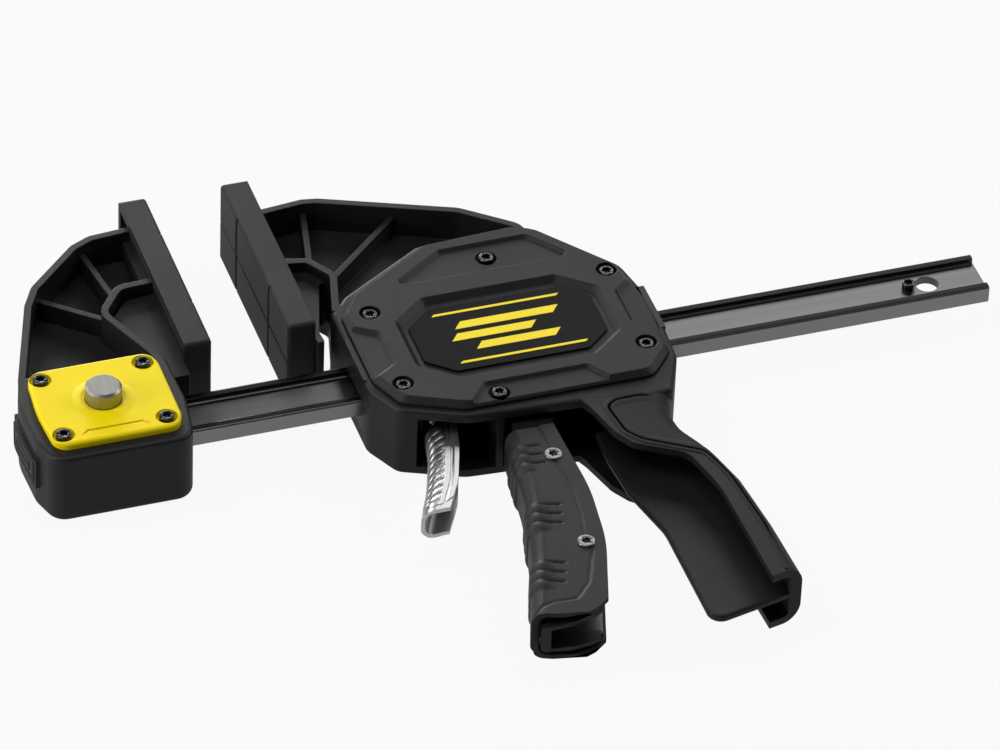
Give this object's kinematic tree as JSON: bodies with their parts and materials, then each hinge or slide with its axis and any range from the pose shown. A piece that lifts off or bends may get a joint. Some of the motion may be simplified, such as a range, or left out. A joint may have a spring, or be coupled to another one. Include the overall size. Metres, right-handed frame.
{
  "type": "quick release bar clamp",
  "caption": "One-handed bar clamp: trigger-driven body with fixed jaw, steel bar, lockable head with moving jaw, release lever and soft pads.",
  "frame": {"origin": "where the fixed pad's clamping plane crosses the centre line of the bar, at mid thickness", "axes": "+X along the bar towards its free end, +Y towards the jaw tips, +Z through the thickness towards the cover side"},
  "size_m": [0.3537, 0.2556, 0.04],
  "materials": {
    "moulded_body": "fine spark texture, satin",
    "soft_grip": "matt overmould",
    "pad_rubber": "matt",
    "yellow_cover": "semi gloss",
    "label_film": "satin printed film",
    "black_bar": "black oxide, oiled",
    "turned_steel": "turned",
    "zinc_lever": "bright zinc plate",
    "plate_steel": "hardened, ground",
    "black_screw": "black oxide",
    "spring_steel": "drawn wire",
    "guide_plastic": "satin, self lubricating",
    "bush_brass": "satin"
  },
  "bodies": {
    "root": {"main_housing": "moulded_body", "body_cover": "moulded_body", "cover_screws": "black_screw", "label_panel": "label_film", "handle_grip": "soft_grip", "front_guide": "guide_plastic", "rear_guide": "guide_plastic", "fixed_pad": "pad_rubber", "trigger_pin": "plate_steel", "release_pin": "plate_steel", "drive_spring": "spring_steel", "brake_spring": "spring_steel"},
    "bar": {"bar": "black_bar", "head_housing": "moulded_body", "head_cover": "yellow_cover", "head_screws": "black_screw", "moving_pad": "pad_rubber", "stop_screw": "black_screw", "stop_nut": "black_screw", "lock_spring": "spring_steel"},
    "button": {"lock_button": "turned_steel"},
    "trigger": {"trigger_channel": "black_bar", "trigger_grip": "soft_grip", "trigger_screws": "black_screw", "trigger_bushes": "bush_brass"},
    "drive": {"drive_plate_front": "plate_steel", "drive_plate_rear": "plate_steel"},
    "release": {"release_lever": "zinc_lever"},
    "brake": {"brake_plate_front": "plate_steel", "brake_plate_rear": "plate_steel"}
  },
  "joints": [
    {"name": "bar_slide", "type": "slide", "parent": "root", "child": "bar", "axis": [1, 0, 0], "range_m": [-0.0935, 0.0273]},
    {"name": "button_press", "type": "slide", "parent": "bar", "child": "button", "axis": [0, 0, -1], "range_m": [0, 0.0065], "stiffness_N_per_m": 900, "springref_m": -0.002, "deforming": ["lock_spring"]},
    {"name": "trigger_pull", "type": "hinge", "parent": "root", "child": "trigger", "pos_m": [0.076, 0.018, 0], "axis": [0, 0, 1], "range_deg": [0, 16], "stiffness_Nm_per_rad": 2, "springref_deg": -11.46, "deforming": ["drive_spring"]},
    {"name": "drive_feed", "type": "slide", "parent": "root", "child": "drive", "axis": [1, 0, 0], "range_m": [0, 0.0108]},
    {"name": "release_pull", "type": "hinge", "parent": "root", "child": "release", "pos_m": [0.04, 0.018, 0], "axis": [0, 0, 1], "range_deg": [0, 5], "stiffness_Nm_per_rad": 1, "springref_deg": -11.46, "deforming": ["brake_spring"]},
    {"name": "brake_tilt", "type": "hinge", "parent": "root", "child": "brake", "pos_m": [0.0476, 0.0165, 0], "axis": [0, 0, 1], "range_deg": [0, 5.1]}
  ],
  "couplings": [
    {"joint": "drive_feed", "follows": "trigger_pull", "m_per_rad": 0.038},
    {"joint": "brake_tilt", "follows": "release_pull", "ratio": 1}
  ]
}
